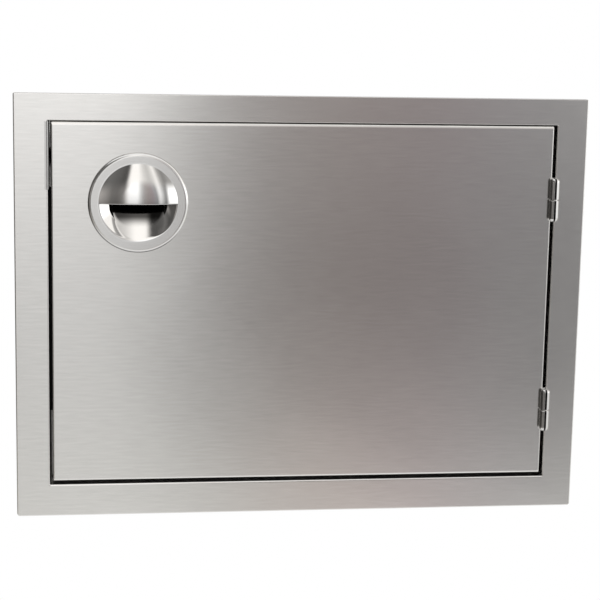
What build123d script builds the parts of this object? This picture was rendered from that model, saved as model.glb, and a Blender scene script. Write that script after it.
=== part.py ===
from build123d import *
import math
import os

# Stainless access door for an outdoor kitchen, in millimetres.
# X runs to the hinge side, Y runs into the wall, Z is up.
# The origin is the centre of the door opening, in the plane of the wall's face.

# Face frame
frame_width = 458.0
frame_height = 339.0
left_stile = 26.5
right_stile = 25.0
top_rail = 20.5
bottom_rail = 26.0
frame_stand = 6.0
frame_sheet = 1.2
frame_fold = 0.2
inner_return = 14.0

# Jambs that line the cut-out
jamb_sheet = 1.2
jamb_lap = 7.0
jamb_depth = 50.0
jamb_lip = 9.0
jamb_bend = 2.2
screw_hole_radius = 2.5
screw_depth = 38.0
screw_spacing = 200.0

# Door
door_gap = 2.4
top_gap = 1.4
bottom_gap = 2.9
door_sheet = 1.2
door_fold = 0.2
liner_sheet = 0.8
liner_return = 7.0
liner_bend = 1.6

# Stops and seal
stop_sheet = 1.2
stop_cover = 9.0
stop_leg = 12.0
stop_bend = 2.2
seal_width = 8.0
seal_depth = 3.0
seal_round = 1.4
seal_clear = 0.3

# Lift-off hinges
upper_hinge_inset = 59.0
lower_hinge_inset = 54.6
barrel_radius = 3.7
barrel_length = 36.0
barrel_round = 1.2
barrel_clear = 0.4
pin_radius = 2.2
pin_press = 0.02
pin_running = 0.05
pin_cap = 3.0
pin_end_clear = 0.5
leaf_sheet = 1.0
leaf_depth = 11.0
washer_depth = 0.8
washer_clear = 0.1
washer_inset = 0.8
backer_sheet = 2.5
backer_depth = 9.0
backer_length = 46.0
backer_clear = 0.2

# Hooded pull
pull_inset_x = 67.6
pull_inset_z = 62.9
pull_radius = 39.4
pull_rise = 2.4
pull_sheet = 1.2
mouth_radius = 30.4
mouth_round = 0.4
bevel_angle = 37.0
step_angle = 65.0
step_radius = 22.6
step_round = 2.0
floor_radius = 150.0
floor_tilt = 19.0
floor_edge_depth = 0.6
floor_round = 1.4
hood_radius = 31.2
crown_radius = 130.0
crown_half = 14.0
shoulder_radius = 52.0
hood_sheet = 1.2
hood_drop = 0.5
lip_round = 0.4
gasket_depth = 0.8
gasket_width = 6.0
gasket_inset = 0.3
pull_hole_clear = 1.0

# Clamp behind the pull
stud_radius = 2.5
stud_clear = 0.2
collar_radius = 4.5
collar_depth = 0.6
bridge_sheet = 1.5
bridge_width = 16.0
bridge_foot = 8.0
bridge_foot_clear = 2.0
bridge_bend = 2.5
washer_radius = 6.0
pull_washer_depth = 1.0
nut_flats = 8.0
nut_depth = 4.0
stud_past_nut = 1.5
stud_room = 0.8

# Magnetic catch
catch_sheet = 0.8
catch_bend = 2.0
catch_height = 53.0
catch_top_clear = 0.3
catch_lip = 1.4
catch_lip_clear = 0.2
catch_margin = 1.0
magnet_inset = 12.0
cup_radius = 8.0
cup_wall = 1.4
cup_depth = 5.0
cup_floor = 1.2
magnet_clear = 0.2
catch_screw_radius = 2.0
catch_head_radius = 3.8
catch_nut_flats = 7.0
catch_nut_depth = 3.2
catch_screw_past = 1.0
strike_air = 0.3
strike_width = 20.0
strike_margin = 2.0
strike_sheet = 1.5
strike_corner = 3.0
rivet_edge = 5.5
rivet_radius = 1.6
rivet_clear = 0.1
rivet_head_radius = 3.0
rivet_head_depth = 1.0
rivet_bulb_radius = 2.4
rivet_bulb_depth = 2.0

# Places that follow from the sizes above
frame_bend = frame_sheet + frame_fold
door_bend = door_sheet + door_fold
opening_width = frame_width - left_stile - right_stile
opening_height = frame_height - top_rail - bottom_rail
half_width = opening_width / 2
half_height = opening_height / 2
face_y = -frame_stand
return_end_y = face_y + inner_return

door_width = opening_width - 2 * door_gap
door_height = opening_height - top_gap - bottom_gap
door_right = half_width - door_gap
door_left = -door_right
door_top = half_height - top_gap
door_bottom = bottom_gap - half_height
door_middle = (door_top + door_bottom) / 2
skin_back_y = face_y + door_sheet

# The barrel stands just clear of the two bent edges on either side of the gap.
hinge_x = half_width - door_gap / 2
edge_bend = max(frame_bend, door_bend)
barrel_reach = barrel_radius + edge_bend + barrel_clear
hinge_y = face_y + edge_bend - math.sqrt(barrel_reach**2 - (door_gap / 2 + edge_bend)**2)
hinge_heights = {"upper": door_top - upper_hinge_inset, "lower": door_bottom + lower_hinge_inset}
leaf_front_y = hinge_y + barrel_radius + barrel_clear
leaf_back_y = leaf_front_y + leaf_depth

pull_x = door_left + pull_inset_x
pull_z = door_top - pull_inset_z
gasket_front_y = face_y - gasket_depth
ring_y = gasket_front_y - pull_rise
hole_radius = mouth_radius + pull_hole_clear

# The bowl: a bevel, a steeper step inside it, and a floor that leans back under the hood.
bevel_run = 1 / math.tan(math.radians(bevel_angle))
step_run = 1 / math.tan(math.radians(step_angle))
step_depth = (mouth_radius - step_radius) / bevel_run
floor_turn = math.radians(floor_tilt)
floor_rise = math.tan(floor_turn)
floor_middle = floor_edge_depth + mouth_radius * floor_rise
step_reach = step_radius + step_depth * step_run
bowl_depth = (floor_middle + step_reach * floor_rise) / (1 + step_run * floor_rise)
bowl_back_y = ring_y + bowl_depth + pull_sheet / math.cos(floor_turn)

# The clamp stacks up behind the bowl, and the door is deep enough to close over it.
collar_end_y = bowl_back_y + collar_depth
bridge_end_y = collar_end_y + bridge_sheet
washer_end_y = bridge_end_y + pull_washer_depth
nut_end_y = washer_end_y + nut_depth
stud_end_y = nut_end_y + stud_past_nut
door_back_y = stud_end_y + stud_room + liner_sheet
door_depth = door_back_y - face_y
liner_front_y = door_back_y - liner_return
stop_face_y = door_back_y + seal_clear + seal_depth
stop_width = frame_sheet + door_gap + stop_cover

# The hood's crown runs into a rounder shoulder where both have the same slope.
crown_turn = math.asin(crown_half / crown_radius)
shoulder_x = crown_half - shoulder_radius * math.sin(crown_turn)
shoulder_y = ring_y + math.sqrt(shoulder_radius**2 - (hood_radius - shoulder_x)**2)
hood_top_y = shoulder_y + (crown_radius - shoulder_radius) * math.cos(crown_turn) - crown_radius

strike_back_y = door_back_y + strike_sheet
cup_front_y = strike_back_y + strike_air
catch_leg_y = cup_front_y + cup_depth
catch_leg_end_y = catch_leg_y + catch_sheet
catch_top = half_height - catch_sheet - catch_top_clear
catch_bottom = catch_top - catch_height
stop_inner_top = half_height + frame_sheet - stop_width
magnet_x = door_left + magnet_inset
magnet_z = (catch_bottom + stop_inner_top) / 2
catch_reach = door_gap + magnet_inset + cup_radius + catch_margin
strike_height = stop_inner_top - catch_bottom - 2 * strike_margin
rivet_spacing = strike_height - 2 * rivet_edge


def block(x, y, z):
    """A box between two limits on each axis."""
    size = [high - low for low, high in (x, y, z)]
    middle = [(high + low) / 2 for low, high in (x, y, z)]
    return Pos(*middle) * Box(*size)


def rod(radius, y0, y1):
    """A round bar along Y."""
    return Pos(0, (y0 + y1) / 2, 0) * Rot(90, 0, 0) * Cylinder(radius, y1 - y0)


def hexagon(flats, y0, y1):
    """A hexagonal bar along Y."""
    outline = RegularPolygon(flats / 2, 6, major_radius=False)
    return extrude(Plane.XZ.offset(-y0) * outline, -(y1 - y0))


def at_pull(solid):
    return Pos(pull_x, 0, pull_z) * solid


def at_magnet(solid):
    return Pos(magnet_x, 0, magnet_z) * solid


def folded_pan(width, depth, height, sheet, bend):
    """A sheet pan with its face at y = 0 and its four returns towards +Y."""
    outer = block((-width / 2, width / 2), (0, depth), (-height / 2, height / 2))
    outer = fillet(outer.faces().sort_by(Axis.Y)[0].edges(), bend)
    inner_x = width / 2 - sheet
    inner_z = height / 2 - sheet
    inner = block((-inner_x, inner_x), (sheet, 2 * depth), (-inner_z, inner_z))
    inner = fillet(inner.faces().sort_by(Axis.Y)[0].edges(), bend - sheet)
    return outer - inner


def folded_angle(length, front, back, lip, sheet, bend, lip_at_front):
    """An angle along X: its plate lies on z = 0 from front to back, its lip rises at one end."""
    end, other, step = (front, back, sheet) if lip_at_front else (back, front, -sheet)
    corner = (end, 0)
    inside = (end + step, sheet)
    points = [corner, (other, 0), (other, sheet), inside, (end + step, lip), (end, lip)]
    outline = make_face(Polyline(*points, close=True))
    outline = fillet(outline.vertices().sort_by_distance(Vector(*corner))[0], bend)
    outline = fillet(outline.vertices().sort_by_distance(Vector(*inside))[0], bend - sheet)
    return extrude(Plane.YZ.offset(-length / 2) * outline, length)


def mitre_tool(length, depth, low_square=None):
    """A prism that mitres both ends of a run along X, or cuts the low end square."""
    low = [(-length / 2, 0), (-length / 2 + depth, depth)]
    if low_square is not None:
        low = [(low_square, 0), (low_square, depth)]
    points = [low[0], (length / 2, 0), (length / 2 - depth, depth), low[1]]
    return extrude(Plane.XZ * make_face(Polyline(*points, close=True)), frame_width, both=True)


def around(half_x, half_z):
    """Where a run along X goes to lie on each side of a rectangle, and its length there."""
    return {
        "top": (Pos(0, 0, half_z) * Rot(0, 180, 0), 2 * half_x),
        "bottom": (Pos(0, 0, -half_z), 2 * half_x),
        "left": (Pos(-half_x, 0, 0) * Rot(0, 90, 0), 2 * half_z),
        "right": (Pos(half_x, 0, 0) * Rot(0, -90, 0), 2 * half_z),
    }


def make_face_frame():
    left = -half_width - left_stile
    right = half_width + right_stile
    bottom = -half_height - bottom_rail
    top = half_height + top_rail
    tray = block((left, right), (face_y, 0), (bottom, top))
    tray = fillet(tray.faces().sort_by(Axis.Y)[0].edges(), frame_bend)
    tube_x = half_width + frame_sheet
    tube_z = half_height + frame_sheet
    behind_y = face_y + frame_sheet
    hollow = block(
        (left + frame_sheet, right - frame_sheet),
        (behind_y, frame_stand),
        (bottom + frame_sheet, top - frame_sheet),
    )
    hollow -= block((-tube_x, tube_x), (face_y, frame_stand), (-tube_z, tube_z))
    hollow = fillet(hollow.faces().sort_by(Axis.Y)[0].edges(), frame_bend - frame_sheet)
    frame = tray - hollow
    frame += block((-tube_x, tube_x), (behind_y, return_end_y), (-tube_z, tube_z))
    through_y = (2 * face_y, 2 * return_end_y)
    frame -= block((-half_width, half_width), through_y, (-half_height, half_height))
    front = frame.faces().filter_by(Axis.Y).sort_by(Axis.Y)[0]
    return fillet(front.inner_wires()[0].edges(), frame_bend)


def make_jambs():
    half_x = half_width + frame_sheet + jamb_sheet
    half_z = half_height + frame_sheet + jamb_sheet
    front = return_end_y - jamb_lap
    jambs = {}
    for side, (place, length) in around(half_x, half_z).items():
        run = folded_angle(length, front, jamb_depth, jamb_lip, jamb_sheet, jamb_bend, False)
        jambs[side] = place * (run & mitre_tool(length, jamb_lip))
    for side, x in (("left", -half_x), ("right", half_x)):
        for z in (-screw_spacing / 2, screw_spacing / 2):
            hole = Rot(0, 90, 0) * Cylinder(screw_hole_radius, 4 * jamb_sheet)
            jambs[side] -= Pos(x, screw_depth, z) * hole
    return jambs


def make_stops():
    half_x = half_width + frame_sheet
    half_z = half_height + frame_sheet
    stops = {}
    for side, (place, length) in around(half_x, half_z).items():
        back = stop_face_y + stop_leg
        run = folded_angle(length, stop_face_y, back, stop_width, stop_sheet, stop_bend, True)
        square = -catch_bottom if side == "left" else None
        stops[side] = place * (run & mitre_tool(length, stop_width, square))
    return stops


def make_seals():
    """Strips with a rounded front, on the inner part of the stops' faces."""
    inset = stop_width - seal_width
    half_x = half_width + frame_sheet
    half_z = half_height + frame_sheet
    seals = {}
    depth = (stop_face_y - seal_depth, stop_face_y)
    for side, (place, length) in around(half_x, half_z).items():
        strip = block((-length / 2, length / 2), depth, (inset, stop_width))
        strip = fillet(strip.faces().sort_by(Axis.Y)[0].edges().filter_by(Axis.X), seal_round)
        square = -catch_bottom if side == "left" else None
        seals[side] = place * (strip & mitre_tool(length, stop_width, square))
    return seals


def knuckle(z0, z1, bore, rounded_face):
    """A barrel half with its far end rounded and capped, bored from the split."""
    barrel = Pos(0, 0, (z0 + z1) / 2) * Cylinder(barrel_radius, z1 - z0)
    barrel = fillet(barrel.faces().sort_by(Axis.Z)[rounded_face].edges(), barrel_round)
    bore_low, bore_high = (z0 + pin_cap, z1) if rounded_face == 0 else (z0, z1 - pin_cap)
    return barrel, Pos(0, 0, (bore_low + bore_high) / 2) * Cylinder(bore, bore_high - bore_low)


def hinge_leaf(z0, z1, bore, rounded_face, leaf_x):
    """A barrel half and the leaf that goes back from it into the gap beside the door."""
    barrel, hole = knuckle(z0, z1, bore, rounded_face)
    half = barrel_length / 2
    leaf = block(leaf_x, (leaf_front_y - hinge_y, leaf_back_y - hinge_y), (-half, half))
    neck = block(leaf_x, (0, leaf_back_y - hinge_y), (z0, z1))
    return barrel + leaf + neck - hole


def make_hinge(height):
    half = barrel_length / 2
    split = washer_depth / 2
    gap_half = door_gap / 2
    pieces = {}
    pieces["frame_leaf"] = hinge_leaf(
        -half, -split, pin_radius + pin_press, 0, (gap_half - leaf_sheet, gap_half)
    )
    pieces["door_leaf"] = hinge_leaf(
        split + washer_clear, half, pin_radius + pin_running, -1, (-gap_half, leaf_sheet - gap_half)
    )
    pin_low = pin_cap - half
    pin_high = half - pin_cap - pin_end_clear
    pin = Pos(0, 0, (pin_low + pin_high) / 2) * Cylinder(pin_radius, pin_high - pin_low)
    pieces["pin"] = chamfer(pin.faces().sort_by(Axis.Z)[-1].edges(), pin_end_clear)
    washer = Cylinder(barrel_radius - washer_inset, washer_depth)
    pieces["washer"] = washer - Cylinder(pin_radius + pin_running, washer_depth)
    place = Pos(hinge_x, hinge_y, height)
    return {name: place * solid for name, solid in pieces.items()}


def make_backer(height):
    """A plate inside the door's hinge edge, between the bend and the liner's return."""
    inside_x = door_right - door_sheet
    front = face_y + door_bend + backer_clear
    half = backer_length / 2
    plate = block((inside_x - backer_sheet, inside_x), (front, front + backer_depth), (-half, half))
    return Pos(0, 0, height) * plate


def make_door_skin():
    pan = folded_pan(door_width, door_depth, door_height, door_sheet, door_bend)
    return Pos(0, face_y, door_middle) * pan - at_pull(rod(hole_radius, 2 * face_y, 0))


def make_door_liner():
    width = door_width - 2 * door_sheet
    height = door_height - 2 * door_sheet
    pan = folded_pan(width, liner_return, height, liner_sheet, liner_bend)
    return Pos(0, door_back_y, door_middle) * Rot(0, 0, 180) * pan - rivet_holes()


def bowl_floor(wall):
    """A wide cylinder that leans back, with its front line just inside the mouth's lower edge."""
    radius = floor_radius + wall
    foot = Vector(0, ring_y + floor_edge_depth, -mouth_radius)
    axis = foot + Vector(0, -math.cos(floor_turn), math.sin(floor_turn)) * floor_radius
    axis += Vector(0, math.sin(floor_turn), math.cos(floor_turn)) * mouth_radius
    return Pos(axis) * Rot(-floor_tilt, 0, 0) * Cylinder(radius, 4 * mouth_radius)


def bowl(front_y, wall):
    """The pull's bowl and a wall around it: bevel and step turned as one, cut off by the floor."""
    bevel_wall = wall / math.sin(math.radians(bevel_angle))
    step_wall = wall / math.sin(math.radians(step_angle))
    back = bowl_depth + 2 * pull_sheet
    corner = (step_reach + step_wall - mouth_radius - bevel_wall) / (step_run - bevel_run)
    front = front_y - ring_y
    side = [
        (mouth_radius + bevel_wall - front * bevel_run, front),
        (mouth_radius + bevel_wall - corner * bevel_run, corner),
        (step_reach + step_wall - back * step_run, back),
    ]
    outline = make_face(Polyline((0, front), *side, (0, back), close=True))
    ridge = outline.vertices().sort_by_distance(Vector(*side[1]))[0]
    outline = fillet(ridge, step_round - wall)
    solid = Pos(0, ring_y, 0) * revolve(outline, Axis.Y) & bowl_floor(wall)
    floor_face = solid.faces().filter_by(GeomType.CYLINDER)[0]
    return fillet(floor_face.outer_wire().edges(), floor_round + wall)


def make_pull_cup():
    """A ring with a rolled edge, pressed in its middle to a bowl that deepens under the hood."""
    back_y = ring_y + pull_sheet
    flat_end = pull_radius - pull_rise
    roll = (flat_end, ring_y + pull_rise)
    inner_roll = pull_rise - pull_sheet
    profile = [
        Line((0, ring_y), (flat_end, ring_y)),
        CenterArc(roll, pull_rise, -90, 90),
        Line((pull_radius, gasket_front_y), (pull_radius - pull_sheet, gasket_front_y)),
        CenterArc(roll, inner_roll, -90, 90),
        Line((flat_end, back_y), (0, back_y)),
        Line((0, back_y), (0, ring_y)),
    ]
    cup = revolve(make_face(profile), Axis.Y)
    cup += bowl(ring_y + pull_sheet / 2, pull_sheet)
    cup -= bowl(ring_y - pull_sheet, 0)
    front = cup.faces().filter_by(Axis.Y).sort_by(Axis.Y)[0]
    return at_pull(fillet(front.inner_wires()[0].edges(), mouth_round))


def make_pull_hood():
    """The upper half of a dome with a flat crown and a rounder shoulder, seated on the ring."""
    outline = []
    for inset in (0, hood_sheet):
        crown = crown_radius - inset
        shoulder = shoulder_radius - inset
        top = (0, hood_top_y + inset)
        bend = (crown * math.sin(crown_turn), hood_top_y + crown_radius - crown * math.cos(crown_turn))
        rim = (shoulder_x + math.sqrt(shoulder**2 - (shoulder_y - ring_y)**2), ring_y)
        outline += [RadiusArc(top, bend, -crown), RadiusArc(bend, rim, -shoulder)]
    outline.append(Line(outline[0] @ 0, outline[2] @ 0))
    outline.append(Line(outline[1] @ 1, outline[3] @ 1))
    dome = revolve(make_face(outline), Axis.Y)
    keep = block((-pull_radius, pull_radius), (2 * hood_top_y, 0), (-hood_drop, pull_radius))
    hood = dome & keep
    lip = hood.faces().sort_by(Axis.Z)[0].edges().filter_by(GeomType.LINE, reverse=True)
    return at_pull(fillet(lip, min(lip_round, hood_sheet / 3)))


def make_pull_gasket():
    outer = pull_radius - gasket_inset
    ring = rod(outer, gasket_front_y, face_y) - rod(outer - gasket_width, gasket_front_y, face_y)
    return at_pull(ring)


def make_pull_clamp():
    pieces = {}
    stud = rod(stud_radius, ring_y, stud_end_y) + rod(collar_radius, ring_y, collar_end_y)
    pieces["stud"] = stud - bowl_floor(pull_sheet)

    foot_inner = hole_radius + bridge_foot_clear
    foot_outer = foot_inner + bridge_foot
    leg_outer = foot_inner + bridge_sheet
    foot_y = skin_back_y + bridge_sheet
    half = [
        (foot_inner, collar_end_y),
        (foot_inner, skin_back_y),
        (foot_outer, skin_back_y),
        (foot_outer, foot_y),
        (leg_outer, foot_y),
        (leg_outer, bridge_end_y),
    ]
    outline = make_face(Polyline(*half, *[(-x, y) for x, y in reversed(half)], close=True))
    bridge = extrude(outline, bridge_width / 2, both=True)
    tops = bridge.edges().filter_by(Axis.Z).group_by(Axis.Y)[-1]
    bridge = fillet(tops, bridge_bend)
    pieces["bridge"] = bridge - rod(stud_radius + stud_clear, collar_end_y, bridge_end_y)

    hole = rod(stud_radius + stud_clear, collar_end_y, nut_end_y)
    pieces["washer"] = rod(washer_radius, bridge_end_y, washer_end_y) - hole
    pieces["nut"] = hexagon(nut_flats, washer_end_y, nut_end_y) - hole
    return {name: at_pull(solid) for name, solid in pieces.items()}


def catch_outline():
    """A lip folded over the frame's edge, a strip along the gap and a leg behind the door."""
    lip_x = -frame_bend - catch_lip
    lip_y = face_y - catch_sheet
    lip_fold = frame_bend - catch_lip_clear
    points = [
        (lip_x, face_y),
        (0, face_y),
        (0, catch_leg_end_y),
        (catch_reach, catch_leg_end_y),
        (catch_reach, catch_leg_y),
        (catch_sheet, catch_leg_y),
        (catch_sheet, lip_y),
        (lip_x, lip_y),
    ]
    folds = {
        points[1]: lip_fold,
        points[6]: lip_fold + catch_sheet,
        points[2]: catch_bend,
        points[5]: catch_bend - catch_sheet,
    }
    outline = make_face(Polyline(*points, close=True))
    for corner, radius in folds.items():
        outline = fillet(outline.vertices().sort_by_distance(Vector(*corner))[0], radius)
    return outline


def make_catch():
    pieces = {}
    bracket = extrude(catch_outline(), catch_height / 2, both=True)
    bracket = Pos(-half_width, 0, catch_top - catch_height / 2) * bracket
    notch_x = (catch_bend - half_width, 0)
    notch_y = (stop_face_y - seal_depth, 2 * catch_leg_end_y)
    bracket -= block(notch_x, notch_y, (stop_inner_top - strike_air, half_height))
    screw_hole = rod(catch_screw_radius + magnet_clear, cup_front_y, catch_leg_end_y)
    pieces["bracket"] = bracket - at_magnet(screw_hole)

    floor_y = catch_leg_y - cup_floor
    well = rod(cup_radius - cup_wall, cup_front_y, floor_y)
    pieces["cup"] = at_magnet(rod(cup_radius, cup_front_y, catch_leg_y) - well - screw_hole)

    sink = catch_head_radius - catch_screw_radius
    cone = Pos(0, cup_front_y + sink / 2, 0) * Rot(90, 0, 0)
    wide = catch_head_radius + magnet_clear
    narrow = catch_screw_radius + magnet_clear
    magnet = rod(cup_radius - cup_wall - magnet_clear, cup_front_y, floor_y) - screw_hole
    pieces["magnet"] = at_magnet(magnet - cone * Cone(narrow, wide, sink))

    nut_end = catch_leg_end_y + catch_nut_depth
    screw = cone * Cone(catch_screw_radius, catch_head_radius, sink)
    screw += rod(catch_screw_radius, cup_front_y + sink, nut_end + catch_screw_past)
    pieces["screw"] = at_magnet(screw)
    nut = hexagon(catch_nut_flats, catch_leg_end_y, nut_end)
    pieces["nut"] = at_magnet(nut - rod(narrow, catch_leg_end_y, nut_end))
    return pieces


def rivet_places():
    return [Pos(magnet_x, 0, magnet_z + side * rivet_spacing / 2) for side in (-1, 1)]


def rivet_holes():
    hole = rod(rivet_radius + rivet_clear, liner_front_y, strike_back_y)
    return [place * hole for place in rivet_places()]


def make_strike_plate():
    half_x = strike_width / 2
    half_z = strike_height / 2
    plate = block((-half_x, half_x), (door_back_y, strike_back_y), (-half_z, half_z))
    plate = fillet(plate.edges().filter_by(Axis.Y), strike_corner)
    return at_magnet(plate) - rivet_holes()


def make_strike_rivets():
    """Two rivets with a domed head behind the strike and a bulb inside the door."""
    head = rod(rivet_head_radius, strike_back_y, strike_back_y + rivet_head_depth)
    head = fillet(head.faces().sort_by(Axis.Y)[-1].edges(), rivet_head_depth / 2)
    inside_y = door_back_y - liner_sheet
    bulb = rod(rivet_bulb_radius, inside_y - rivet_bulb_depth, inside_y)
    rivet = head + rod(rivet_radius, inside_y, strike_back_y) + bulb
    return Compound([place * rivet for place in rivet_places()])


nodes = {"face_frame": make_face_frame()}
nodes.update({f"jamb_{side}": solid for side, solid in make_jambs().items()})
nodes.update({f"stop_{side}": solid for side, solid in make_stops().items()})
nodes.update({f"seal_{side}": solid for side, solid in make_seals().items()})
for level, height in hinge_heights.items():
    for name, solid in make_hinge(height).items():
        nodes[f"{level}_hinge_{name}"] = solid
    nodes[f"{level}_hinge_backer"] = make_backer(height)
nodes.update({f"catch_{name}": solid for name, solid in make_catch().items()})
nodes["door_skin"] = make_door_skin()
nodes["door_liner"] = make_door_liner()
nodes["pull_cup"] = make_pull_cup()
nodes["pull_hood"] = make_pull_hood()
nodes["pull_gasket"] = make_pull_gasket()
nodes.update({f"pull_{name}": solid for name, solid in make_pull_clamp().items()})
nodes["strike_plate"] = make_strike_plate()
nodes["strike_rivets"] = make_strike_rivets()

os.makedirs("parts", exist_ok=True)
for name, solid in nodes.items():
    export_step(solid, f"parts/{name}.step")
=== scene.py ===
import math

import bmesh
import bpy
import numpy as np
from mathutils import Matrix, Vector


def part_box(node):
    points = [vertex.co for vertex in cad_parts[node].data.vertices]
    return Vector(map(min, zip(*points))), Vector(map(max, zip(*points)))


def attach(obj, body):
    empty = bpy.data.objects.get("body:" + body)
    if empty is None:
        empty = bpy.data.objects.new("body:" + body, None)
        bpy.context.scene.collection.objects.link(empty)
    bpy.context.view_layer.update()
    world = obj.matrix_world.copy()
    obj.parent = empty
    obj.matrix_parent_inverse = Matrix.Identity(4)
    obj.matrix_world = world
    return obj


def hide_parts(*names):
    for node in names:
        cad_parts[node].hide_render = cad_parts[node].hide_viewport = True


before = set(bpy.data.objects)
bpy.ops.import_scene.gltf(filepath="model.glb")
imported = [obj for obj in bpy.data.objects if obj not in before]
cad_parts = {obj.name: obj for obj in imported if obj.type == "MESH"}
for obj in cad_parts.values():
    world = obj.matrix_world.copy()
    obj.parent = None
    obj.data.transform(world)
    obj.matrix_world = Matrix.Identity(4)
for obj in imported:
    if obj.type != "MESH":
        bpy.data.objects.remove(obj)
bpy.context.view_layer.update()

scene = bpy.context.scene
scene.view_settings.view_transform = "Standard"
mm = 0.001  # sizes below are in millimetres, meshes in metres
mergeGap = 0.002  # points of neighbouring patches this close become one
leastCorner = 0.05  # what is left of a corner that is drawn in past its own radius


def nodeBox(name):
    low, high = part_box(name)
    return np.array(low) / mm, np.array(high) / mm


# Middle and half size of a box seen from the front: across and up.
def frontView(low, high):
    return (low[::2] + high[::2]) / 2, (high[::2] - low[::2]) / 2


# Rows and columns of points become quads; a wrapped side joins its last line to its first.
def quadGrid(rows, cols, wrapRows, wrapCols):
    r, c = np.meshgrid(
        np.arange(rows - (not wrapRows)), np.arange(cols - (not wrapCols)), indexing="ij"
    )
    around = ((0, 0), (1, 0), (1, 1), (0, 1))
    steps = np.stack([np.stack([r + i, c + j], -1) for i, j in around], -2).reshape(-1, 4, 2)
    return (steps[..., 0] % rows) * cols + steps[..., 1] % cols, steps


def fullTurn(steps):
    return np.linspace(0, 2 * np.pi, steps, endpoint=False)[:, None]


# Points round an axis through the door, by distance from it, depth and angle.
def turnedPoints(centre, reach, depth, turn):
    x, z = centre[0] + reach * np.cos(turn), centre[1] + reach * np.sin(turn)
    return np.stack([x, depth + 0 * x, z], -1)


# Columns side by side; one that isn't given for every angle is the same at all of them.
def joinColumns(turn, *blocks):
    return np.concatenate([np.array(block) + 0 * turn for block in blocks], 1)


# Each patch is a grid of points with its wraps and a flat map; patches are merged into one shell.
def makePiece(name, patches, body, slot, replaced=(), sharp=35, material=None):
    points, faces, flat, start = [], [], [], 0
    for patch in patches:
        grid = patch["points"]
        rows, cols = grid.shape[:2]
        wrapRows, wrapCols = patch.get("wrapRows", False), patch.get("wrapCols", False)
        corners, steps = quadGrid(rows, cols, wrapRows, wrapCols)
        uv = patch.get("uv", grid[..., (0, 2)])
        uv = uv[(steps[..., 0] % len(uv)), (steps[..., 1] % uv.shape[1])]
        points.append(grid.reshape(-1, 3))
        faces.append(corners + start)
        flat.append(uv.reshape(-1, 2))
        start += rows * cols
    mesh = bpy.data.meshes.new(name)
    mesh.from_pydata((np.concatenate(points) * mm).tolist(), [], np.concatenate(faces).tolist())
    layer = mesh.uv_layers.new(name="grain")
    layer.data.foreach_set("uv", (np.concatenate(flat) * mm).ravel())
    shell = bmesh.new()
    shell.from_mesh(mesh)
    bmesh.ops.remove_doubles(shell, verts=shell.verts, dist=mergeGap * mm)
    bmesh.ops.recalc_face_normals(shell, faces=shell.faces)
    shell.to_mesh(mesh)
    shell.free()
    mesh.polygons.foreach_set("use_smooth", np.ones(len(mesh.polygons), bool))
    mesh.set_sharp_from_angle(angle=math.radians(sharp))
    mesh.materials.append(material or finish[slot])
    piece = bpy.data.objects.new(name, mesh)
    scene.collection.objects.link(piece)
    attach(piece, body)
    if replaced:
        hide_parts(*replaced)


def placeObject(thing, right, up, back, place):
    axes = np.column_stack([right, up, back, place * mm])
    thing.matrix_world = Matrix(np.vstack([axes, [0, 0, 0, 1]]).tolist())
    scene.collection.objects.link(thing)


# A shader node; its inputs are sockets to link or values to set.
def addNode(tree, kind, inputs=None, **settings):
    node = tree.nodes.new(kind)
    for key, value in settings.items():
        setattr(node, key, value)
    for key, value in (inputs or {}).items():
        if isinstance(value, bpy.types.NodeSocket):
            tree.links.new(value, node.inputs[key])
        else:
            node.inputs[key].default_value = value
    return node


def addMath(tree, operation, *values):
    return addNode(tree, "ShaderNodeMath", dict(enumerate(values)), operation=operation).outputs[0]


def addVector(tree, operation, *values):
    node = addNode(tree, "ShaderNodeVectorMath", dict(enumerate(values)), operation=operation)
    return node.outputs["Value" if operation in ("LENGTH", "DOT_PRODUCT") else "Vector"]


# How far the value is from start to end, held at both, spread from low to high.
def addRange(tree, value, start, end, low=0.0, high=1.0, smooth=False):
    inputs = {0: value, 1: start, 2: end, 3: low, 4: high}
    kind = "SMOOTHSTEP" if smooth else "LINEAR"
    return addNode(tree, "ShaderNodeMapRange", inputs, interpolation_type=kind).outputs[0]


def inMetres(lengths):
    return [length * mm for length in lengths]


def grey(level):
    return (level,) * 3


# From the first to the second by the factor; a tuple is a plain colour.
def addMix(tree, factor, first, second, blend="MIX"):
    ends = [(*end, 1) if isinstance(end, tuple) else end for end in (first, second)]
    inputs = {0: factor, 1: ends[0], 2: ends[1]}
    return addNode(tree, "ShaderNodeMixRGB", inputs, blend_type=blend).outputs[0]


def addNoise(tree, place, scale, detail, rough=0.5):
    inputs = {"Vector": place, "Scale": scale, "Detail": detail, "Roughness": rough}
    return addNode(tree, "ShaderNodeTexNoise", inputs).outputs[0]


# Stops are places between low and high, in order, each with a level or a colour.
def addRamp(tree, factor, stops, low, high):
    node = addNode(tree, "ShaderNodeValToRGB", {"Fac": factor})
    elements = node.color_ramp.elements
    elements.remove(elements[1])
    for index, (place, colour) in enumerate(stops):
        position = (place - low) / (high - low)
        element = elements[0] if index == 0 else elements.new(position)
        element.position = position
        element.color = (*(colour if isinstance(colour, tuple) else grey(colour)), 1)
    return node.outputs["Color"]


def splitAxes(tree, place):
    return addNode(tree, "ShaderNodeSeparateXYZ", {0: place}).outputs


def objectPlace(tree):
    return addNode(tree, "ShaderNodeTexCoord").outputs["Object"]


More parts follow.
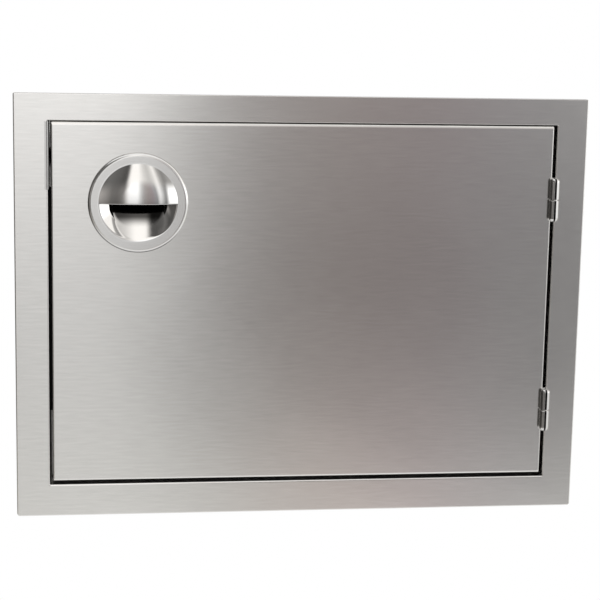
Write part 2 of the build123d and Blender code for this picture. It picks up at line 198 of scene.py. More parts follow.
# Inputs are numbers with their defaults, or a vector where that is None; outputs are numbers.
def newGroup(name, inputs, outputs):
    group = bpy.data.node_groups.new(name, "ShaderNodeTree")
    for label, value in inputs.items():
        kind = "NodeSocketVector" if value is None else "NodeSocketFloat"
        socket = group.interface.new_socket(label, in_out="INPUT", socket_type=kind)
        if value is not None:
            socket.default_value = value
    for label in outputs:
        group.interface.new_socket(label, in_out="OUTPUT", socket_type="NodeSocketFloat")
    ins, outs = addNode(group, "NodeGroupInput"), addNode(group, "NodeGroupOutput")
    return group, ins.outputs, outs.inputs


def placeGroup(tree, group, inputs):
    return addNode(tree, "ShaderNodeGroup", inputs, node_tree=group).outputs


def blankMaterial(name):
    material = bpy.data.materials.new(name)
    material.use_nodes = True
    material.node_tree.nodes.clear()
    return material, material.node_tree


# camera fitted to the outline of the frame in the picture
viewpoint = {
    "target": (-1.25, -6.0, -2.25), "distance": 1339.7,
    "azimuth": -7.647, "elevation": 10.091, "roll": 1.12, "slideRight": -2.121, "slideUp": 6.005,
    "focalPixels": 1663.9, "imagePixels": 600, "sensor": 36.0, "clipEnd": 20000.0,
}


# Looks along the azimuth and down by the elevation from the distance, rolled about that line, then
# slides right and up in its own picture.
def makeCamera(view):
    a, e, r = (math.radians(view[key]) for key in ("azimuth", "elevation", "roll"))
    forward = np.array([-math.sin(a) * math.cos(e), math.cos(a) * math.cos(e), -math.sin(e)])
    side = np.array([math.cos(a), math.sin(a), 0.0])
    above = np.cross(side, forward)
    right = math.cos(r) * side + math.sin(r) * above
    up = -math.sin(r) * side + math.cos(r) * above
    place = np.array(view["target"]) - forward * view["distance"]
    data = bpy.data.cameras.new("viewpoint")
    data.sensor_width = view["sensor"]
    data.lens = view["focalPixels"] * view["sensor"] / view["imagePixels"]
    data.clip_end = view["clipEnd"] * mm
    camera = bpy.data.objects.new("viewpoint", data)
    slide = right * view["slideRight"] + up * view["slideUp"]
    placeObject(camera, right, up, -forward, place + slide)
    scene.camera = camera


makeCamera(viewpoint)
print("camera set")

# levels round the object by angle in degrees, 0 straight ahead of the door, positive to the hinges
studio = {
    "peak": 2.0,
    "ambient": 0.8,
    "wall": [
        (-180, 0.50), (-150, 0.12), (-115, 0.07), (-67, 0.05), (-58, 0.22), (-48, 0.24), (-37, 0.17),
        (-28, 0.10), (-19, 0.09), (-9, 0.13), (-7.2, 0.40), (-5.2, 0.74), (-0.5, 0.745), (1.2, 0.79),
        (2.9, 0.51), (4.7, 0.29), (6.4, 0.225), (8.5, 0.20), (12, 0.185), (15.2, 0.23), (17.5, 0.16),
        (20, 0.42), (21.5, 0.56), (24, 0.56), (28, 0.36), (31, 0.22), (34, 0.16), (37, 0.60),
        (39.5, 1.0), (110, 1.0), (119, 0.2), (180, 0.50),
    ],
    "low": [
        (-180, 0.7), (-100, 0.4), (-60, 0.45), (-20, 0.45), (-8, 0.7), (-2, 0.80), (0, 0.84),
        (3, 0.87), (6.4, 0.81), (10, 0.79), (14, 0.70), (20, 0.72), (40, 1.0), (110, 1.0), (180, 0.7),
    ],
    "high": [
        (-180, 0.4), (-110, 0.12), (-60, 0.09), (-37, 0.18), (-19, 0.12), (-11.2, 0.06), (-9.4, 0.5),
        (-7.4, 1.3), (2, 1.3), (5, 1.1), (9, 0.84), (14, 0.70), (18, 0.82), (23, 1.2), (29, 0.5),
        (35, 0.30), (42, 0.42), (50, 0.5), (56, 1.2), (110, 1.2), (119, 0.2), (180, 0.4),
    ],
    "rise": [(-90, 1.0), (-9, 1.0), (-3, 1.63), (3, 1.95), (15, 2.0), (90, 2.0)],
    "tint": [  # brown shade to the left, a warm wall ahead and a cool one beyond it
        (-180, (1.045, 0.995, 0.955)), (-9, (1.045, 0.995, 0.955)), (-5, 1.0), (4, 1.0),
        (8.5, (1.09, 0.97, 0.94)), (12.5, (1.085, 0.945, 0.97)), (14.5, (1.0, 0.98, 1.02)),
        (19, 1.0), (180, 1.0),
    ],
    "lowTint": (1.01, 1.01, 0.975),
    "highTint": (1.025, 1.0, 0.97),
    "lowBand": (-13.0, -18.5),  # where one level passes into the next, by height
    "highBand": (4.0, 20.0),
    "topBand": (43.0, 52.0),
    "topLevel": 1.15,
    "floorDrop": 620.0, "floorRadius": 1600.0, "floorHole": 1.0, "floorGrid": (96, 12),
    "floorCloud": (3.0, 4.0), "floorTones": ((0.84, 0.84, 0.83), (0.86, 0.86, 0.86)),
    "lampPlace": (-150.0, -700.0, 1300.0), "lampSize": (1200.0, 800.0), "lampPower": 8.0,
}


# White to the camera; reflections see the ramps, by angle round Z and height; the rest is even light.
def makeWorld(values):
    world = bpy.data.worlds.new("studio")
    scene.world = world
    world.use_nodes = True
    tree, peak = world.node_tree, values["peak"]
    tree.nodes.clear()
    axis = splitAxes(tree, addNode(tree, "ShaderNodeTexCoord").outputs["Generated"])
    turn = addMath(tree, "ARCTAN2", axis[0], addMath(tree, "MULTIPLY", axis[1], -1.0))
    turn = addRange(tree, turn, -math.pi, math.pi)
    height = addMath(tree, "ARCSINE", axis[2])
    upward = addRange(tree, height, -math.pi / 2, math.pi / 2)

    def level(name, share=turn, limit=180):  # divided by the peak, because a ramp ends at one
        stops = [(place, value / peak) for place, value in values[name]]
        return addRamp(tree, share, stops, -limit, limit)

    def multiply(first, second):
        return addMix(tree, 1.0, first, second, "MULTIPLY")

    def between(band):
        start, end = (math.radians(angle) for angle in values[band])
        return addRange(tree, height, start, end, smooth=True)

    lit = multiply(multiply(level("wall"), level("rise", upward, 90)), grey(peak))
    low = multiply(level("low"), values["lowTint"])
    high = multiply(level("high"), values["highTint"])
    tint = addRamp(tree, turn, values["tint"], -180, 180)
    mapped = multiply(addMix(tree, between("lowBand"), lit, low), tint)
    mapped = addMix(tree, between("highBand"), mapped, high)
    mapped = addMix(tree, between("topBand"), mapped, grey(values["topLevel"] / peak))
    path = addNode(tree, "ShaderNodeLightPath").outputs
    mirrored = addMath(tree, "MAXIMUM", path["Is Glossy Ray"], path["Is Transmission Ray"])
    shown = addMix(tree, mirrored, grey(values["ambient"] / peak), mapped)
    shown = addMix(tree, path["Is Camera Ray"], shown, grey(1 / peak))
    light = addNode(tree, "ShaderNodeBackground", {"Color": shown, "Strength": peak})
    addNode(tree, "ShaderNodeOutputWorld", {"Surface": light.outputs[0]})


# A disc: radius grows along the columns, the angle turns along the rows. White where it is seen.
def makeFloor(values):
    rows, cols = values["floorGrid"]
    reach = np.linspace(values["floorHole"], values["floorRadius"], cols)[None, :]
    level = nodeBox("face_frame")[0][2] - values["floorDrop"]
    points = turnedPoints((0, 0), reach, level, fullTurn(rows))[..., (0, 2, 1)] * mm
    faces = quadGrid(rows, cols, True, False)[0][:, ::-1]
    mesh = bpy.data.meshes.new("floor")
    mesh.from_pydata(points.reshape(-1, 3).tolist(), [], faces.tolist())
    material, tree = blankMaterial("paleFloor")
    path = addNode(tree, "ShaderNodeLightPath").outputs
    seen = addMath(tree, "MAXIMUM", path["Is Camera Ray"], path["Is Glossy Ray"])
    seen = addMath(tree, "MAXIMUM", seen, path["Is Transmission Ray"])
    cloud = addNoise(tree, objectPlace(tree), *values["floorCloud"])
    tone = addMix(tree, cloud, *values["floorTones"])
    matte = addNode(tree, "ShaderNodeBsdfDiffuse", {"Color": tone})
    white = addNode(tree, "ShaderNodeEmission", {"Color": (1, 1, 1, 1), "Strength": 1.0})
    shaders = {0: seen, 1: matte.outputs[0], 2: white.outputs[0]}
    mixed = addNode(tree, "ShaderNodeMixShader", shaders)
    addNode(tree, "ShaderNodeOutputMaterial", {"Surface": mixed.outputs[0]})
    mesh.materials.append(material)
    floor = bpy.data.objects.new("floor", mesh)
    scene.collection.objects.link(floor)


# A rectangle of light that faces the origin from its place.
def makeLamp(values):
    data = bpy.data.lights.new("overheadSoftbox", "AREA")
    data.shape = "RECTANGLE"
    data.size, data.size_y = inMetres(values["lampSize"])
    data.energy = values["lampPower"]
    lamp = bpy.data.objects.new("overheadSoftbox", data)
    lamp.visible_glossy = False  # metal mirrors the ramps only
    place = np.array(values["lampPlace"])
    back = place / np.linalg.norm(place)
    side = np.cross([0.0, 1.0, 0.0], back)
    side /= np.linalg.norm(side)
    placeObject(lamp, side, np.cross(back, side), back, place)


makeWorld(studio)
makeFloor(studio)
makeLamp(studio)
print("studio set")

# what the groups are made of: sizes as shares of the inputs, noise as detail and roughness
grainParts = {"Streak": (1.0, 1.0), "Fine": (1.9, 4.1)}
grainNoise = (3.0, 0.55)
smudgeParts = {"wide": (2.0, 0.5), "small": (3.0, 0.6), "smaller": 7.0, "share": 0.35}
smudgeBand = (0.34, 0.66)
weldParts = {"Dimple": (1.1, 0.8), "Halo": (2.0, 0.7)}
weldStrength = {"halo": 0.6, "dimple": -3.0}


# Long noise along the first axis and short across it, in two sizes, as rolled-on brush lines.
def makeGrainGroup():
    inputs = {"Vector": None, "Along": 18.0, "Across": 900.0}
    group, ins, outs = newGroup("brushedGrain", inputs, grainParts)
    for label, (lengthen, tighten) in grainParts.items():
        along = addMath(group, "MULTIPLY", ins["Along"], lengthen)
        across = addMath(group, "MULTIPLY", ins["Across"], tighten)
        scale = addNode(group, "ShaderNodeCombineXYZ", {0: along, 1: across, 2: across})
        place = addVector(group, "MULTIPLY", ins["Vector"], scale.outputs[0])
        group.links.new(addNoise(group, place, 1.0, *grainNoise), outs[label])
    return group


# Soft clouds of two sizes: where hands and rollers have left the surface a little duller.
def makeSmudgeGroup():
    group, ins, outs = newGroup("handledSurface", {"Vector": None, "Size": 14.0}, ("Mask",))
    share = smudgeParts["share"]
    finer = addMath(group, "MULTIPLY", ins["Size"], smudgeParts["smaller"])
    wide = addNoise(group, ins["Vector"], ins["Size"], *smudgeParts["wide"])
    small = addNoise(group, ins["Vector"], finer, *smudgeParts["small"])
    both = addMath(group, "MULTIPLY_ADD", small, share, addMath(group, "MULTIPLY", wide, 1 - share))
    group.links.new(addRange(group, both, *smudgeBand, smooth=True), outs["Mask"])
    return group


# Spot welds in a row at one depth: even steps along the sheet, a flat dimple and a wider tinted halo.
def makeWeldGroup():
    inputs = {"Vector": None, "Pitch": 0.04, "Depth": 0.0045, "Radius": 0.0016}
    group, ins, outs = newGroup("spotWelds", inputs, weldParts)
    axis = splitAxes(group, ins["Vector"])
    deep = addMath(group, "SUBTRACT", axis[1], ins["Depth"])
    deep = addMath(group, "MULTIPLY", deep, deep)
    middle = addMath(group, "MULTIPLY", ins["Pitch"], 0.5)
    away = []
    for along in (axis[0], axis[2]):
        off = addMath(group, "FLOORED_MODULO", along, ins["Pitch"])
        off = addMath(group, "SUBTRACT", off, middle)
        off = addMath(group, "ADD", addMath(group, "MULTIPLY", off, off), deep)
        away.append(addMath(group, "SQRT", off))
    share = addMath(group, "DIVIDE", addMath(group, "MINIMUM", *away), ins["Radius"])
    for label, (outer, inner) in weldParts.items():
        group.links.new(addRange(group, share, outer, inner, smooth=True), outs[label])
    return group


grainGroup = makeGrainGroup()
smudgeGroup = makeSmudgeGroup()
weldGroup = makeWeldGroup()


def startMaterial(name):
    material, tree = blankMaterial(name)
    shader = addNode(tree, "ShaderNodeBsdfPrincipled")
    addNode(tree, "ShaderNodeOutputMaterial", {"Surface": shader.outputs[0]})
    return material, tree, shader


def addGrain(tree, look, place):
    inputs = {"Vector": place, "Along": look["along"], "Across": look["across"]}
    return placeGroup(tree, grainGroup, inputs)


def addSmudge(tree, look, place):
    return placeGroup(tree, smudgeGroup, {"Vector": place, "Size": look["smudge"]})["Mask"]


# Welds tint the tone in their halos and press the height in.
def addWelds(tree, look, place, tone, height):
    weld = placeGroup(tree, weldGroup, {"Vector": place, "Depth": look["weldDepth"] * mm})
    halo = addMath(tree, "MULTIPLY", weld["Halo"], weldStrength["halo"])
    pressed = addMath(tree, "MULTIPLY_ADD", weld["Dimple"], weldStrength["dimple"], height)
    return addMix(tree, halo, tone, look["haloTone"]), pressed


def addTone(tree, look, factor):
    return addMix(tree, factor, look["toneLow"], look["toneHigh"])


def addRough(tree, look, factor):
    return addRange(tree, factor, 0.0, 1.0, *look["rough"])


def setSurface(tree, shader, look, tone, rough, height, metallic=1.0):
    tree.links.new(tone, shader.inputs["Base Color"])
    tree.links.new(rough, shader.inputs["Roughness"])
    shader.inputs["Metallic"].default_value = metallic
    strength, distance = look["bump"]
    inputs = {"Strength": strength, "Distance": distance * mm, "Height": height}
    bump = addNode(tree, "ShaderNodeBump", inputs)
    tree.links.new(bump.outputs[0], shader.inputs["Normal"])


brushedLook = {
    "toneLow": (0.675, 0.664, 0.645), "toneHigh": (0.785, 0.772, 0.752), "rough": (0.13, 0.17),
    "along": 55.0, "across": 560.0, "smudge": 9.0, "smudgeRough": 0.012, "bump": (0.05, 0.05),
    "anisotropic": 0.62, "turn": 0.25,
    # returns behind the face: rougher as plain sheet, and painted darker as shade in the gaps
    "returnShadeTone": (0.40, 0.395, 0.385), "returnRough": 0.12, "returnDepth": (-4.8, -2.4),
    "weldDepth": 15.8, "haloTone": (0.34, 0.29, 0.22),
}


# Brush lines on the face; the returns behind it, by depth, are rougher as plain sheet and painted
# darker as shade in the gaps.
def brushedFace(look):
    material, tree, shader = startMaterial("brushedFace")
    flat = addNode(tree, "ShaderNodeUVMap", uv_map="grain").outputs[0]
    place = objectPlace(tree)
    grain, smudge = addGrain(tree, look, flat), addSmudge(tree, look, flat)
    depth = splitAxes(tree, place)[1]
    behind = addRange(tree, depth, *inMetres(look["returnDepth"]), smooth=True)
    tone = addMix(tree, behind, addTone(tree, look, grain["Streak"]), look["returnShadeTone"])
    tone, height = addWelds(tree, look, place, tone, grain["Fine"])
    rough = addRough(tree, look, grain["Fine"])
    rough = addMath(tree, "MULTIPLY_ADD", smudge, look["smudgeRough"], rough)
    rough = addMath(tree, "MULTIPLY_ADD", behind, look["returnRough"], rough)
    setSurface(tree, shader, look, tone, rough, height)
    shader.inputs["Anisotropic"].default_value = look["anisotropic"]
    shader.inputs["Anisotropic Rotation"].default_value = look["turn"]
    tangent = addNode(tree, "ShaderNodeTangent", direction_type="UV_MAP", uv_map="grain")
    tree.links.new(tangent.outputs[0], shader.inputs["Tangent"])
    return material


# one recipe for the plain metals; painted shade fades are measured across from the start that the
# metal is given
metalLooks = {
    "millSheet": {
        "toneLow": (0.52, 0.515, 0.50), "toneHigh": (0.62, 0.613, 0.60), "rough": (0.30, 0.42),
        "along": 9.0, "across": 260.0, "smudge": 16.0, "bump": (0.10, 0.05),
        "weldDepth": 4.5, "haloTone": (0.36, 0.31, 0.24),
    },
    "catchSheet": {
        "toneLow": (0.66, 0.652, 0.64), "toneHigh": (0.74, 0.731, 0.715), "rough": (0.15, 0.20),
        "along": 9.0, "across": 260.0, "smudge": 16.0, "bump": (0.05, 0.05),
        # painted shade across the catch's lip over the frame's edge, darkest at its bend
        "shadeFade": [(0.0, 1.0), (1.2, 0.85), (2.0, 0.62), (2.8, 0.42), (4.0, 0.6), (7.0, 1.0)],
    },
    "hingeSteel": {
        "toneLow": (0.62, 0.613, 0.60), "toneHigh": (0.70, 0.692, 0.68), "rough": (0.06, 0.10),
        "along": 60.0, "across": 2600.0, "smudge": 60.0, "bump": (0.04, 0.05),
        "seam": (0.95, 0.55), "seamDepth": -2.0, "seamTone": (0.02, 0.02, 0.02),
        # painted shade on the barrel's inner flank
        "shadeFade": [(-5.6, 0.3), (-3.4, 0.35), (-2.6, 1.0)],
    },
    "fastenerSteel": {
        "toneLow": (0.50, 0.495, 0.48), "toneHigh": (0.64, 0.63, 0.615), "rough": (0.22, 0.34),
        "along": 200.0, "across": 1500.0, "smudge": 110.0, "bump": (0.10, 0.05),
    },
}


# A streaked tone, a smudged roughness and a small bump. A seam is a dark line along the front of the
# barrel, where the curl closes; a shade fade is painted shade, a darker band across the lip or the
# barrel's inner flank.
def plainMetal(name, start=None):
    look = metalLooks[name]
    material, tree, shader = startMaterial(name)
    place = objectPlace(tree)
    grain, smudge = addGrain(tree, look, place), addSmudge(tree, look, place)
    tone, height = addTone(tree, look, grain["Streak"]), grain["Fine"]
    if "weldDepth" in look:
        tone, height = addWelds(tree, look, place, tone, height)
    if "seam" in look:
        axis = splitAxes(tree, place)
        away = addMath(tree, "ABSOLUTE", addMath(tree, "SUBTRACT", axis[0], start[0] * mm))
        seam = addRange(tree, away, *inMetres(look["seam"]))
        front = addMath(tree, "LESS_THAN", axis[1], (start[1] + look["seamDepth"]) * mm)
        tone = addMix(tree, addMath(tree, "MULTIPLY", seam, front), tone, look["seamTone"])
    # painted shade: a darker band by distance across
    if "shadeFade" in look:
        across = splitAxes(tree, place)[0]
        first, last = look["shadeFade"][0][0], look["shadeFade"][-1][0]
        share = addRange(tree, across, (start[0] + first) * mm, (start[0] + last) * mm)
        shadeBand = addRamp(tree, share, look["shadeFade"], first, last)
        tone = addMix(tree, 1.0, tone, shadeBand, "MULTIPLY")
    setSurface(tree, shader, look, tone, addRough(tree, look, smudge), height)
    return material


polishLook = {
    "toneLow": (0.73, 0.722, 0.708), "toneHigh": (0.79, 0.783, 0.77),
    "along": 30.0, "across": 1800.0, "smudge": 45.0, "smudgeRough": 0.03, "bump": (0.03, 0.03),
    "rough": (0.075, 0.17), "ringReach": (31.2, 32.4),  # in the bowl and on the ring
    # the hood's underside behind the lip is rougher, and painted nearly black as shade under the hood
    "underShadeTone": (0.07, 0.068, 0.065), "dullRough": 0.425, "dullShadeMark": (0.3, 0.7),
    # painted shade on the outer part of the rolled edge, on its lower left side
    "edgeShadeTone": (0.20, 0.196, 0.19), "edgeReach": (37.9, 38.7),
    "edgeSide": (-0.45, 0.0, -0.89), "edgeFacing": (0.05, 0.5),
    "shadeTone": (0.06, 0.058, 0.056), "shadeHeight": (-20.0, -10.8), "shadeReach": (22.0, 20.0),
}


# Bright inside the mouth and satin on the ring, by distance from the pull's axis. The hood is rougher
# and painted nearly black as shade where its map's first value is one, on the underside behind the
# lip.
# The cup has painted shade on the lower left of its rolled edge and on its floor below the hood, each
# a product of two such ranges.
def polishedPull(look, centre, name, isHood):
    material, tree, shader = startMaterial(name)
    place = objectPlace(tree)
    middle = addVector(tree, "SUBTRACT", place, (centre[0] * mm, 0, centre[1] * mm))
    flat = addVector(tree, "MULTIPLY", middle, (1, 0, 1))
    reach = addVector(tree, "LENGTH", flat)
    ring = addRange(tree, reach, *inMetres(look["ringReach"]), smooth=True)
    grain, smudge = addGrain(tree, look, place), addSmudge(tree, look, place)
    rough = addMath(tree, "MULTIPLY_ADD", smudge, look["smudgeRough"], addRough(tree, look, ring))
    tone = addTone(tree, look, grain["Streak"])
    if isHood:
        # painted shade: the underside behind the lip is made nearly black, besides rougher
        mark = splitAxes(tree, addNode(tree, "ShaderNodeUVMap", uv_map="grain").outputs[0])[0]
        dullShade = addRange(tree, mark, *inMetres(look["dullShadeMark"]))
        tone = addMix(tree, dullShade, tone, look["underShadeTone"])
        rough = addMath(tree, "MULTIPLY_ADD", dullShade, look["dullRough"], rough)
    else:
        # painted shade: the outer part of the rolled edge is darkened on its lower left side
        facing = addVector(tree, "NORMALIZE", flat)
        facing = addVector(tree, "DOT_PRODUCT", facing, look["edgeSide"])
        edgeShadeSide = addRange(tree, facing, *look["edgeFacing"])
        edge = addRange(tree, reach, *inMetres(look["edgeReach"]))
        tone = addMix(tree, addMath(tree, "MULTIPLY", edgeShadeSide, edge), tone, look["edgeShadeTone"])
        above = splitAxes(tree, flat)[2]
        shade = addRange(tree, above, *inMetres(look["shadeHeight"]), smooth=True)
        bottom = addRange(tree, reach, *inMetres(look["shadeReach"]))
        tone = addMix(tree, addMath(tree, "MULTIPLY", shade, bottom), tone, look["shadeTone"])
    setSurface(tree, shader, look, tone, rough, grain["Fine"])
    return material


rubberLook = {
    "toneLow": (0.012, 0.012, 0.012), "toneHigh": (0.035, 0.034, 0.033), "rough": (0.5, 0.72),
    "smudge": 40.0, "pores": (1800.0, 3.0), "specular": 0.35, "bump": (0.25, 0.05),
}


# Worn paler in clouds, with fine pores.
def sealRubber(look):
    material, tree, shader = startMaterial("sealRubber")
    place = objectPlace(tree)
    smudge, pores = addSmudge(tree, look, place), addNoise(tree, place, *look["pores"])
    tone, rough = addTone(tree, look, smudge), addRough(tree, look, smudge)
    setSurface(tree, shader, look, tone, rough, pores, metallic=0.0)
    shader.inputs["Specular IOR Level"].default_value = look["specular"]
    return material


ferriteLook = {
    "toneLow": (0.018, 0.018, 0.02), "toneHigh": (0.06, 0.06, 0.062), "rough": (0.42, 0.62),
    "smudge": 160.0, "powder": (2600.0, 4.0), "bump": (0.3, 0.05),
}


# Pressed powder: fine grains and a few paler scuffs.
def ferriteMagnet(look):
    material, tree, shader = startMaterial("ferriteMagnet")
    place = objectPlace(tree)
    smudge, powder = addSmudge(tree, look, place), addNoise(tree, place, *look["powder"])
    tone, rough = addTone(tree, look, smudge), addRough(tree, look, powder)
    setSurface(tree, shader, look, tone, rough, powder, metallic=0.0)
    return material


zincLook = {
    "toneLow": (0.46, 0.47, 0.48), "toneHigh": (0.62, 0.63, 0.64), "rough": (0.24, 0.4),
    "smudge": 80.0, "cells": 420.0, "bump": (0.06, 0.03),
}


# Plated patches: cells of slightly different tone and gloss.
def zincPlate(look):
    material, tree, shader = startMaterial("zincPlate")
    place = objectPlace(tree)
    cells = addNode(tree, "ShaderNodeTexVoronoi", {"Vector": place, "Scale": look["cells"]})
    patch = addNode(tree, "ShaderNodeSeparateColor", {0: cells.outputs["Color"]}).outputs[0]
    tone, rough = addTone(tree, look, patch), addRough(tree, look, addSmudge(tree, look, place))
    setSurface(tree, shader, look, tone, rough, patch)
    return material


pullCentre = frontView(*nodeBox("pull_cup"))[0]
hingeAxis = np.mean(nodeBox("upper_hinge_pin"), axis=0)
finish = {
    "brushed_steel": brushedFace(brushedLook),
    "mill_steel": plainMetal("millSheet"),
    "polished_steel": polishedPull(polishLook, pullCentre, "polishedPull", False),
    "hinge_steel": plainMetal("hingeSteel", hingeAxis),
    "black_rubber": sealRubber(rubberLook),
    "ferrite": ferriteMagnet(ferriteLook),
    "zinc_plate": zincPlate(zincLook),
    "fastener_steel": plainMetal("fastenerSteel"),
}
slotWords = {
    "brushed_steel": ("face_frame", "door_skin"),
    "mill_steel": ("jamb_", "stop_", "door_liner", "catch_bracket", "hinge_backer", "pull_bridge"),
    "polished_steel": ("pull_cup", "pull_hood"),
    "hinge_steel": ("hinge_frame_leaf", "hinge_door_leaf", "hinge_pin"),
    "black_rubber": ("seal_", "pull_gasket"),
    "ferrite": ("catch_magnet",),
    "zinc_plate": ("catch_cup", "strike_plate"),
    "fastener_steel": (
        "catch_screw", "catch_nut", "pull_stud", "pull_washer", "pull_nut", "strike_rivets",
        "hinge_washer",
    ),
}
for slotName, words in slotWords.items():
    for nodeName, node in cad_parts.items():
        if any(word in nodeName for word in words):
            node.data.materials.clear()
            node.data.materials.append(finish[slotName])
catchSheet = plainMetal("catchSheet", nodeBox("catch_bracket")[0])
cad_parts["catch_bracket"].data.materials[0] = catchSheet
print("finishes made and put on the CAD nodes")


# A rectangle with round corners, walked once: the points and the outward direction at each.
# Sides get even steps, corners even angles; the same counts at every size keep loops in line.
def roundedLoop(centre, half, radii, sideSteps, cornerSteps):
    points, outward = [], []
    span = np.linspace(0, 1, sideSteps, endpoint=False)[:, None]
    turn = np.linspace(0, np.pi / 2, cornerSteps, endpoint=False)
    radii = np.broadcast_to(radii, 4)  # right bottom, right top, left top, left bottom
    signs = np.array([(1, -1), (1, 1), (-1, 1), (-1, -1)])
    corners = np.array(centre) + signs * (np.array(half) - radii[:, None])
    for index in range(4):
        start = index * np.pi / 2 - np.pi / 2
        arc = np.column_stack([np.cos(start + turn), np.sin(start + turn)])
        points.append(corners[index] + radii[index] * arc)
        outward.append(arc)
        away = np.array([np.cos(start + np.pi / 2), np.sin(start + np.pi / 2)])
        first = corners[index] + radii[index] * away
        last = corners[(index + 1) % 4] + radii[(index + 1) % 4] * away
        points.append(first + (last - first) * span)
        outward.append(np.repeat(away[None, :], sideSteps, 0))
    return np.concatenate(points), np.concatenate(outward)


# The same loop drawn in by its own amount on the left, right, foot and head.
def insetLoop(centre, half, insets, radii, part):
    left, right, foot, head = insets
    middle = np.add(centre, ((left - right) / 2, (foot - head) / 2))
    inside = np.subtract(half, ((left + right) / 2, (foot + head) / 2))
    return roundedLoop(middle, inside, radii, part["sideSteps"], part["cornerSteps"])


def atDepth(loop, depth):
    return np.column_stack([loop[:, 0], np.full(len(loop), depth), loop[:, 1]])


def fourSides(value):
    return value if isinstance(value, tuple) else (value,) * 4


sheetWaves = ((31.0, 57.0, 0.0, 1.0), (47.0, -26.0, 1.3, 0.8), (19.0, 21.0, 2.1, 0.6))


# A few long waves added up, each by its length across and up, shift and size: a sheet's unevenness.
def sheetWave(x, z, height):
    waves = [size * np.sin(x / across + z / up + shift) for across, up, shift, size in sheetWaves]
    return height * sum(waves) / sum(wave[-1] for wave in sheetWaves)


frameSheet = {
    "left": 26.5, "right": 25.0, "top": 20.9, "bottom": 26.0,
    "sheet": 1.2, "fold": 0.15, "return": 14.0,
    "outerBend": (0.8, 0.8, 0.8, 0.3),  # left, right, foot and head
    "innerBend": (1.0, 1.0, 1.3, 0.5),
    "margin": 0.3,  # flat rim that keeps the bend's shading off the face
    "outerCorners": (2.0, 0.9, 0.9, 2.2), "innerCorner": 0.7,
    "wave": 0.03, "waveDepth": 0.9,
    "bendSteps": 9, "sideSteps": 60, "cornerSteps": 8, "faceSteps": 14, "backSteps": 6,
    "wallSteps": 4, "returnSteps": 5,
}


# A folded channel: wall return, bend, face, bend, door-side return and the same way back one sheet
# deeper; the profile's inset and depth are carried round two loops, blended across the face.
def makeFaceFrame(part):
    low, high = nodeBox("face_frame")
    sheet, inside, faceY = part["sheet"], part["fold"], low[1]
    endY, backY = faceY + part["return"], faceY + sheet + part["fold"]
    outer, inner = np.array(part["outerBend"]), np.array(part["innerBend"])
    edge, deep = outer.max(), inner.max()
    outerMid, outerHalf = frontView(low, high)
    innerMid, innerHalf = frontView(
        low + (part["left"], 0, part["bottom"]), high - (part["right"], 0, part["top"])
    )
    turn = np.linspace(0, np.pi / 2, part["bendSteps"])
    rows = []  # blend across the face, insets from the outline, outsets from the opening, depth

    def addRows(blend, inset, outset, depth):
        sides = (*fourSides(inset), *fourSides(outset))
        rows.append(np.column_stack(np.broadcast_arrays(blend, *sides, depth)))

    closed = tuple(side * (1 - np.cos(turn)) for side in outer)
    opened = tuple(side * (1 - np.sin(turn)) for side in inner)
    foldOut = sheet + inside * (1 - np.cos(turn))
    foldIn = sheet + inside * (1 - np.sin(turn))
    faceIn, faceOut = tuple(outer + part["margin"]), tuple(inner + part["margin"])
    addRows(0, 0, 0, np.linspace(0, faceY + edge, part["wallSteps"])[:-1])
    addRows(0, closed, 0, faceY + edge * (1 - np.sin(turn)))
    addRows(np.linspace(0, 1, part["faceSteps"]), faceIn, faceOut, faceY)
    addRows(1, 0, opened, faceY + deep * (1 - np.cos(turn)))
    addRows(1, 0, 0, np.linspace(faceY + deep, endY, part["returnSteps"])[1:])
    addRows(1, 0, sheet, np.linspace(endY, backY, part["returnSteps"])[:-1])
    addRows(1, 0, foldOut, faceY + foldIn)
    across = np.linspace(1, 0, part["backSteps"])[1:-1]
    addRows(across, sheet + inside, sheet + inside, faceY + sheet)
    addRows(0, foldIn, 0, faceY + foldOut)
    addRows(0, sheet, 0, np.linspace(backY, 0, part["wallSteps"])[1:])
    rows = np.concatenate(rows)
    points, flat = [], []
    for blend, *sides, depth in rows:
        insets, outsets = np.array(sides[:4]), np.array(sides[4:])
        rounds = np.maximum(np.array(part["outerCorners"]) - insets.max(), leastCorner)
        outline, outward = insetLoop(outerMid, outerHalf, insets, rounds, part)
        rounds = part["innerCorner"] + outsets.min()
        opening = insetLoop(innerMid, innerHalf, -outsets, rounds, part)[0]
        loop = outline + (opening - outline) * blend
        points.append(atDepth(loop, depth))
        flat.append(loop + outward * (1 - 2 * blend) * (depth - faceY))
    points, flat = np.array(points), np.array(flat)
    face = np.exp(-((points[..., 1] - faceY) / part["waveDepth"]) ** 2)
    middle = np.sin(np.pi * rows[:, 0])[:, None] * face
    points[..., 1] += middle * sheetWave(points[..., 0], points[..., 2], part["wave"])
    patch = {"points": points, "uv": flat, "wrapRows": True, "wrapCols": True}
    makePiece("faceFrameSheet", [patch], "frame", "brushed_steel", ("face_frame",))


doorSheet = {
    "sheet": 1.2, "fold": 0.15, "headReach": 0.3, "margin": 0.3, "hole": 31.4, "corner": 1.2,
    "bend": (1.0, 1.1, 1.7, 2.5),  # left, right, foot and head
    "wave": 0.06,
    "calmEdge": (6.0, 40.0), "calmPull": (44.0, 30.0),  # still this far off, full that much further
    "bendSteps": 9, "sideSteps": 72, "cornerSteps": 8, "faceSteps": 40, "backSteps": 10,
    "returnSteps": 5,
}


